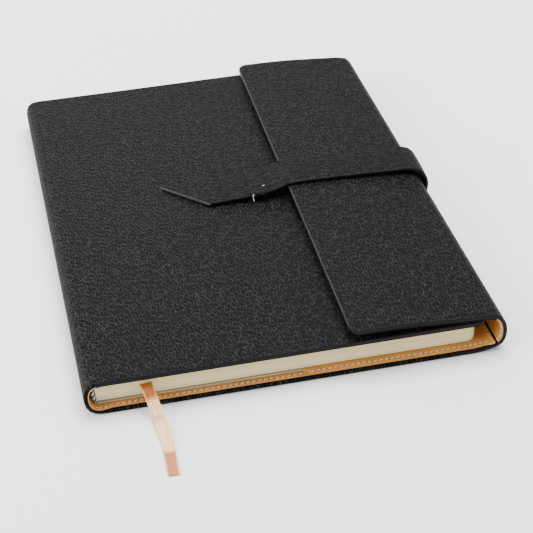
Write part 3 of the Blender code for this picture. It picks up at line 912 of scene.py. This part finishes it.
def add_stitches():
    marks = wrap_profile(0.5)[1]
    on_lining = LEATHER + LINING + 0.05 * MM
    on_pocket = on_lining + 0.5 * MM
    inset = 1.55 * MM
    flap_run = marks["fore_seam"] - marks["free_edge"]
    seats = both_ends("free_edge", 4.0 * MM, flap_run - 1.0 * MM, on_lining, inset)
    seats += seats_across("free_edge", inset + 0.3 * MM, on_lining, HALF_COVER - 5.0 * MM)
    flap = stitch_row("flap_stitches", seats)
    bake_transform(flap)
    seats = both_ends("fore_seam", 0.4 * MM, marks["slot"] - marks["fore_seam"] - 1.4 * MM, on_lining, inset)
    wall = stitch_row("fore_edge_stitches", seats)
    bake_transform(wall)
    to_lip = marks["lip"] - marks["slot"]
    seats = both_ends("slot", 1.8 * MM, to_lip - 0.9 * MM, on_pocket, inset)
    seats += seats_across("slot", 1.9 * MM, on_pocket, HALF_BACK - 3.5 * MM)
    seats += seats_across("lip", -1.9 * MM, on_pocket, HALF_BACK - 2.6 * MM, pocket_swell)
    pocket = stitch_row("pocket_stitches", seats)
    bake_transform(pocket)
    to_spine = marks["spine_seam"] - marks["lip"]
    seats = both_ends("lip", 1.6 * MM, to_spine - 13.5 * MM, on_lining, inset)
    back = stitch_row("back_stitches", seats)
    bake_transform(back)
    to_edge = marks["front_edge"] - marks["spine_seam"]
    seats = both_ends("spine_seam", 4.0 * MM, to_edge - 4.0 * MM, on_lining, inset)
    seats += seats_across("front_edge", -inset - 0.3 * MM, on_lining, HALF_COVER - 4.0 * MM)
    front = stitch_row("front_stitches", seats)
    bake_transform(front)


# ---- strap and keeper


STRAP_THICK = 1.35 * MM
STRAP_MIDDLE = 0.5 * (STRAP_TAIL + STRAP_HEAD)
STRAP_STEPS = 10


def strap_profile():
    """The strap's grain side from its tip over the flap and down the fore-edge wall, and where the run is parted."""
    hide, marks = wrap_profile(0.5 + 0.5 * STRAP_MIDDLE / HALF_COVER)
    over_cover = COVER_TOP + STRAP_THICK
    over_flap = FLAP_RISE + 0.5 * MM + STRAP_THICK
    points = [
        (STRAP_TIP + along * MM, over_cover + lift * MM)
        for along, lift in ((0, 0.15), (10, 0.25), (20, 0.5), (30, 1.0))
    ]
    points += [
        (KEEPER[0][0], over_cover + 1.45 * MM),
        (KEEPER[1][0], over_cover + 2.1 * MM),
        (FREE_EDGE - 4.0 * MM, over_flap - 1.5 * MM),
        (FREE_EDGE, over_flap - 0.1 * MM),
        (FREE_EDGE + 6.0 * MM, over_flap + 0.25 * MM),
    ]
    stand_off = ((20, 0.3), (30, 0.6), (40, 1.0), (48, 1.3), (53, 1.6), (58, 1.9), (62, 2.0), (66, 1.7), (70, 1.1),
                 (74, 0.5), (76, 0.25))
    for along, gap in stand_off:
        x, z, nx, nz = hide.at(marks["free_edge"] + along * MM)
        reach = STRAP_THICK + gap * MM
        points.append((x + nx * reach, z + nz * reach))
    profile = Profile(smooth_curve(points, STRAP_STEPS))
    return profile, [profile.run[(len(points) - back) * STRAP_STEPS] for back in (8, 6)]


def strap_piece(name, start, end, cut, slanted):
    profile, _ = strap_profile()
    half = 0.5 * (STRAP_HEAD - STRAP_TAIL)
    rim = 0.4 * MM
    fine = [0.0, 0.05 * MM, 0.16 * MM, 0.3 * MM, 0.42 * MM, 1.0 * MM]
    across = [-half + d for d in fine] + [-half + 1 * MM + (2 * half - 2 * MM) * i / 8 for i in range(1, 8)]
    across += [half - d for d in fine[::-1]]
    rows, count = [], None
    for v in across:
        begin = start + (STRAP_CUT * (half - v) / (2 * half) if slanted else 0.0)
        places = spaced(begin, end, 1.6 * MM, *cut, count)
        count = len(places)
        row = []
        for s in places:
            x, z, nx, nz = profile.unit_at(s)
            gap = min([half - abs(v)] + [gone for is_cut, gone in zip(cut, (s - begin, end - s)) if is_cut])
            inset = rim_inset(gap, rim)
            y = STRAP_MIDDLE + v
            out, inn = inset - 0.12 * MM * (1 - (v / half) ** 2), STRAP_THICK - inset
            outer, inner = (x - nx * out, y, z - nz * out), (x - nx * inn, y, z - nz * inn)
            row.append((outer, inner, (s + STRAP_PATCH, y), gap < rim * 0.9))
        rows.append(row)
    return shell(name, rows, (STRAP_GRAIN, EDGE, EDGE), ends=cut)


def add_strap():
    profile, parted = strap_profile()
    free = strap_piece("strap_run", 0.0, parted[0], (True, False), True)
    slope = STRAP_CUT / (STRAP_HEAD - STRAP_TAIL)
    repaint(free, RAW_EDGE, lambda c: c.x < STRAP_TIP + slope * (STRAP_HEAD - c.y) + 0.16 * MM)
    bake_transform(free)
    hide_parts("strap_leather", "strap_backing")
    turned = strap_piece("strap_over_fold", parted[0], parted[1], (False, False), False)
    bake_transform(turned)
    wrapped = strap_piece("strap_on_wall", parted[1], profile.run[-1], (False, True), False)
    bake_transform(wrapped)
    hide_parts("strap_wrap")


def add_keeper():
    """The closed band of thin leather that the strap runs through."""
    x0, x1 = KEEPER[0][0], KEEPER[1][0]
    band = 0.65 * MM
    corner = 0.9 * MM
    y0, y1 = STRAP_TAIL - band - 0.25 * MM, STRAP_HEAD + band + 0.25 * MM
    over_flap = strap_profile()[0].curve[: 8 * STRAP_STEPS].T
    rim = 0.25 * MM
    xs = [x0 + d for d in (0.0, 0.05 * MM, 0.14 * MM, 0.27 * MM, 1.2 * MM)]
    xs += [0.5 * (x0 + x1)] + [x1 - d for d in (1.2 * MM, 0.27 * MM, 0.14 * MM, 0.05 * MM, 0.0)]
    rows = []
    for x in xs:
        roof = np.interp(x, *over_flap) + 0.2 * MM + band
        floor_z = COVER_TOP + 0.05 * MM
        loop = []
        for cy, cz, begin in ((y1 - corner, roof - corner, 0), (y0 + corner, roof - corner, 1),
                              (y0 + corner, floor_z + corner, 2), (y1 - corner, floor_z + corner, 3)):
            for i in range(5):
                angle = pi / 2 * (begin + i / 4)
                loop.append((cy + corner * cos(angle), cz + corner * sin(angle), cos(angle), sin(angle)))
            if begin == 0:
                for k in range(1, 8):
                    t = k / 8
                    y = (y1 - corner) + (y0 - y1 + 2 * corner) * t
                    loop.append((y, roof + 0.12 * MM * sin(pi * t), 0.0, 1.0))
        gap = min(x - x0, x1 - x)
        inset = rim_inset(gap, rim)
        row, gone = [], 0.0
        for i, (y, z, ny, nz) in enumerate(loop):
            if i:
                gone += hypot(y - loop[i - 1][0], z - loop[i - 1][1])
            inn = band - inset
            outer, inner = (x, y - ny * inset, z - nz * inset), (x, y - ny * inn, z - nz * inn)
            row.append((outer, inner, (x + KEEPER_PATCH, gone), gap < rim * 0.9))
        rows.append(row)
    band_piece = shell("keeper_band", rows, (STRAP_GRAIN, EDGE, EDGE), closed=True)
    # Painted glint on the keeper's left rim and its head-side top edge, where they catch the light.
    repaint(band_piece, ARRIS_GLINT, lambda c: c.x < x0 + 0.2 * MM or c.y > y1 - 0.45 * MM)
    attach(band_piece, "front_cover")
    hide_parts("strap_keeper")
    add_keeper_thread(x0, y0, np.interp(x0, *over_flap) + 0.2 * MM + band)


def tube(name, line, radius, look, sides=8, taper=0.0, uv=False):
    points, uvs = [], []
    line = [Vector(p) for p in line]
    run = lengths_along(np.array([tuple(p) for p in line]))
    reference = Vector((0.31, 0.87, 0.39)).normalized()
    for i, point in enumerate(line):
        along = (line[min(i + 1, len(line) - 1)] - line[max(i - 1, 0)]).normalized()
        side = along.cross(reference).normalized()
        up = side.cross(along)
        share = i / (len(line) - 1)
        r = radius * (1 - taper * max(abs(2 * share - 1) - 0.8, 0.0) / 0.2)
        for k in range(sides):
            angle = 2 * pi * k / sides
            points.append(tuple(point + side * (r * cos(angle)) + up * (r * sin(angle))))
            uvs.append((run[i], radius * angle))
    faces = prism_faces(0, sides, len(line) - 1)
    return finish_mesh(name, points, faces, [look], uvs=uvs if uv else None, sharp=60)


def add_keeper_thread(x0, y0, roof):
    """The end of the thread that sews the keeper, left showing at its corner, and one stitch that shows."""
    route = [
        (x0 + 0.35 * MM, y0 + 0.5 * MM, roof + 0.02 * MM),
        (x0 + 0.12 * MM, y0 - 0.05 * MM, roof - 0.25 * MM),
        (x0 - 0.02 * MM, y0 - 0.22 * MM, roof - 1.2 * MM),
        (x0 + 0.10 * MM, y0 - 0.26 * MM, roof - 2.1 * MM),
        (x0 + 0.35 * MM, y0 - 0.55 * MM, roof - 2.9 * MM),
    ]
    end = tube("keeper_thread_end", smooth_curve(route, 6), 0.17 * MM, THREAD, taper=0.5)
    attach(end, "front_cover")
    x = KEEPER[1][0] - 0.9 * MM
    y = STRAP_TAIL + 4.3 * MM
    z = roof + 0.62 * MM
    knot = tube("keeper_stitch", smooth_curve([(x - 0.45 * MM, y, z - 0.2 * MM), (x, y + 0.1 * MM, z + 0.05 * MM),
                                               (x + 0.45 * MM, y + 0.1 * MM, z - 0.1 * MM)], 4), 0.16 * MM, THREAD)
    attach(knot, "front_cover")


def spine_lean(z):
    """The block leans a little toward the spine as it rises."""
    return -0.85 * MM * (z - PAGE_LOW) / (PAGE_TOP - PAGE_LOW)


def add_spine_cloth():
    """Cloth glued round the block's spine, swollen to fill most of the hollow behind it. Its near-black colour is also
    painted shade: it darkens the hollow, which lies in shadow.
    """
    rows = 12
    shares = [i / rows for i in range(rows + 1)]
    outline = [(t, 0.6 * MM + 2.1 * MM * sin(pi * t)) for t in shares] + [(t, 0.12 * MM) for t in shares[::-1]]
    points = []
    for y in (-HALF_PAGE + 0.3 * MM, HALF_PAGE - 0.3 * MM):
        for t, out in outline:
            z = PAGE_LOW + 0.1 * MM + (PAGE_TOP - PAGE_LOW - 0.6 * MM) * t
            points.append((PAGE_START + spine_lean(z) - out, y, z))
    cloth = finish_mesh("spine_cloth_shade_roll", points, prism_faces(0, len(outline), 1), [CLOTH_SHADE], sharp=50)
    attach(cloth, "back_cover")
    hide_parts("refill_spine_cloth")


def add_headbands():
    """A rolled band of wound silk at each end of the refill's spine."""
    for name, node, way in (("tail_headband_roll", "headband_tail", -1), ("head_headband_roll", "headband_head", 1)):
        y = way * (HALF_PAGE - 0.2 * MM)
        line = []
        for i in range(41):
            t = i / 40
            z = PAGE_LOW - 0.5 * MM + (PAGE_TOP - PAGE_LOW + 1.0 * MM) * t
            line.append((PAGE_START - 0.75 * MM + spine_lean(z) - 0.25 * MM * sin(pi * t), y, z))
        roll = tube(name, line, 0.72 * MM, SILK, sides=16, taper=0.3, uv=True)
        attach(roll, "back_cover")
        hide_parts(node)


def add_pages():
    rng = random.Random(7)
    for name, node, bottom, top, body in (
        ("lower_leaves", "refill_lower_pages", PAGE_LOW, PAGE_SPLIT + 0.29 * MM, "back_cover"),
        ("upper_leaves", "refill_upper_pages", PAGE_SPLIT + 0.31 * MM, PAGE_TOP, "leaves"),
    ):
        count = max(int((top - bottom) / (0.24 * MM)), 3)
        points, faces = [], []
        for i in range(count):
            z0 = bottom + (top - bottom) * i / count
            z1 = bottom + (top - bottom) * (i + 0.97) / count
            slip = rng.uniform(-0.07, 0.05) * MM
            half = HALF_PAGE + rng.uniform(-0.05, 0.04) * MM
            outline = leaf_outline(PAGE_START + spine_lean(z0), PAGE_END + slip, half, 4.0 * MM)
            faces += prism_faces(len(points), len(outline), 1)
            points += [(x, y, z) for z in (z0, z1) for x, y in outline]
        obj = finish_mesh(name, points, faces, [PAPER])
        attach(obj, body)
        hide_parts(node)


def leaf_outline(x0, x1, half, radius, steps=7):
    outline = [(x0, -half)]
    for centre_y, start in ((-half + radius, -pi / 2), (half - radius, 0.0)):
        for i in range(steps + 1):
            angle = start + pi / 2 * i / steps
            outline.append((x1 - radius + radius * cos(angle), centre_y + radius * sin(angle)))
    outline.append((x0, half))
    return outline


def dress_solids():
    for name, look in (
        ("front_pocket", TAN),
        ("refill_back_card", CARD),
        ("refill_front_card", CARD),
        ("ribbon_inside", SATIN),
    ):
        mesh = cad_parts[name].data
        mesh.materials.clear()
        mesh.materials.append(look)


def add_ribbon():
    rest = GAP + 0.1 * MM
    drop = RIBBON_START.z - rest
    route = [
        (RIBBON_START.x + across * MM, RIBBON_START.y - out * MM, rest + share * drop)
        for across, out, share in RIBBON_ROUTE
    ]
    line = [Vector(p) for p in smooth_curve(route, 5)]
    run = lengths_along(np.array([tuple(p) for p in line]))
    rows = []
    widths = [-1.0, -0.96, -0.88, -0.78, -0.5, -0.2, 0.1, 0.4, 0.7, 0.82, 0.9, 0.96, 1.0]
    for share in widths:
        row = []
        for i, point in enumerate(line):
            along = line[min(i + 1, len(line) - 1)] - line[max(i - 1, 0)]
            side = along.cross(Vector((0.0, 0.0, 1.0))).normalized()
            up = side.cross(along).normalized()
            s = run[i] / run[-1]
            width = RIBBON_WIDTH * (1.0 - 0.03 * sin(s * 9.0) - 0.08 * s)
            curl = 0.10 * MM * (share**2 - 0.4) * sin(s * pi)
            ripple = 0.12 * MM * sin(s * 23.0 + share * 1.5) * min(s * 4, 1.0) * (1 - s)
            thick = (0.10 + 0.05 * (abs(share) > 0.8) * (abs(share) < 0.97)) * MM
            fray = 0.35 * MM * noise.noise(Vector((share * 6.0, 2.0, 0.5))) if i == len(line) - 1 else 0.0
            middle = point + side * (share * width / 2) + up * (curl + ripple) + along.normalized() * fray
            middle.z = max(middle.z, 0.16 * MM)
            row.append((tuple(middle - up * thick), tuple(middle + up * thick), (run[i], share), False))
        rows.append(row)
    obj = shell("ribbon_tail", rows, (SATIN, SATIN, SATIN))
    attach(obj, "back_cover")
    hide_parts("bookmark_ribbon")


def add_floor():
    size = 4.0
    points = [(-size, -size, -0.1 * MM), (size, -size, -0.1 * MM), (size, size, -0.1 * MM), (-size, size, -0.1 * MM)]
    finish_mesh("floor", points, [(0, 1, 2, 3)], [FLOOR])


add_camera()
add_light()
add_floor()
add_ribbon()
add_hide()
add_lining()
add_pocket()
add_stitches()
add_strap()
add_keeper()
add_spine_cloth()
add_headbands()
add_pages()
dress_solids()
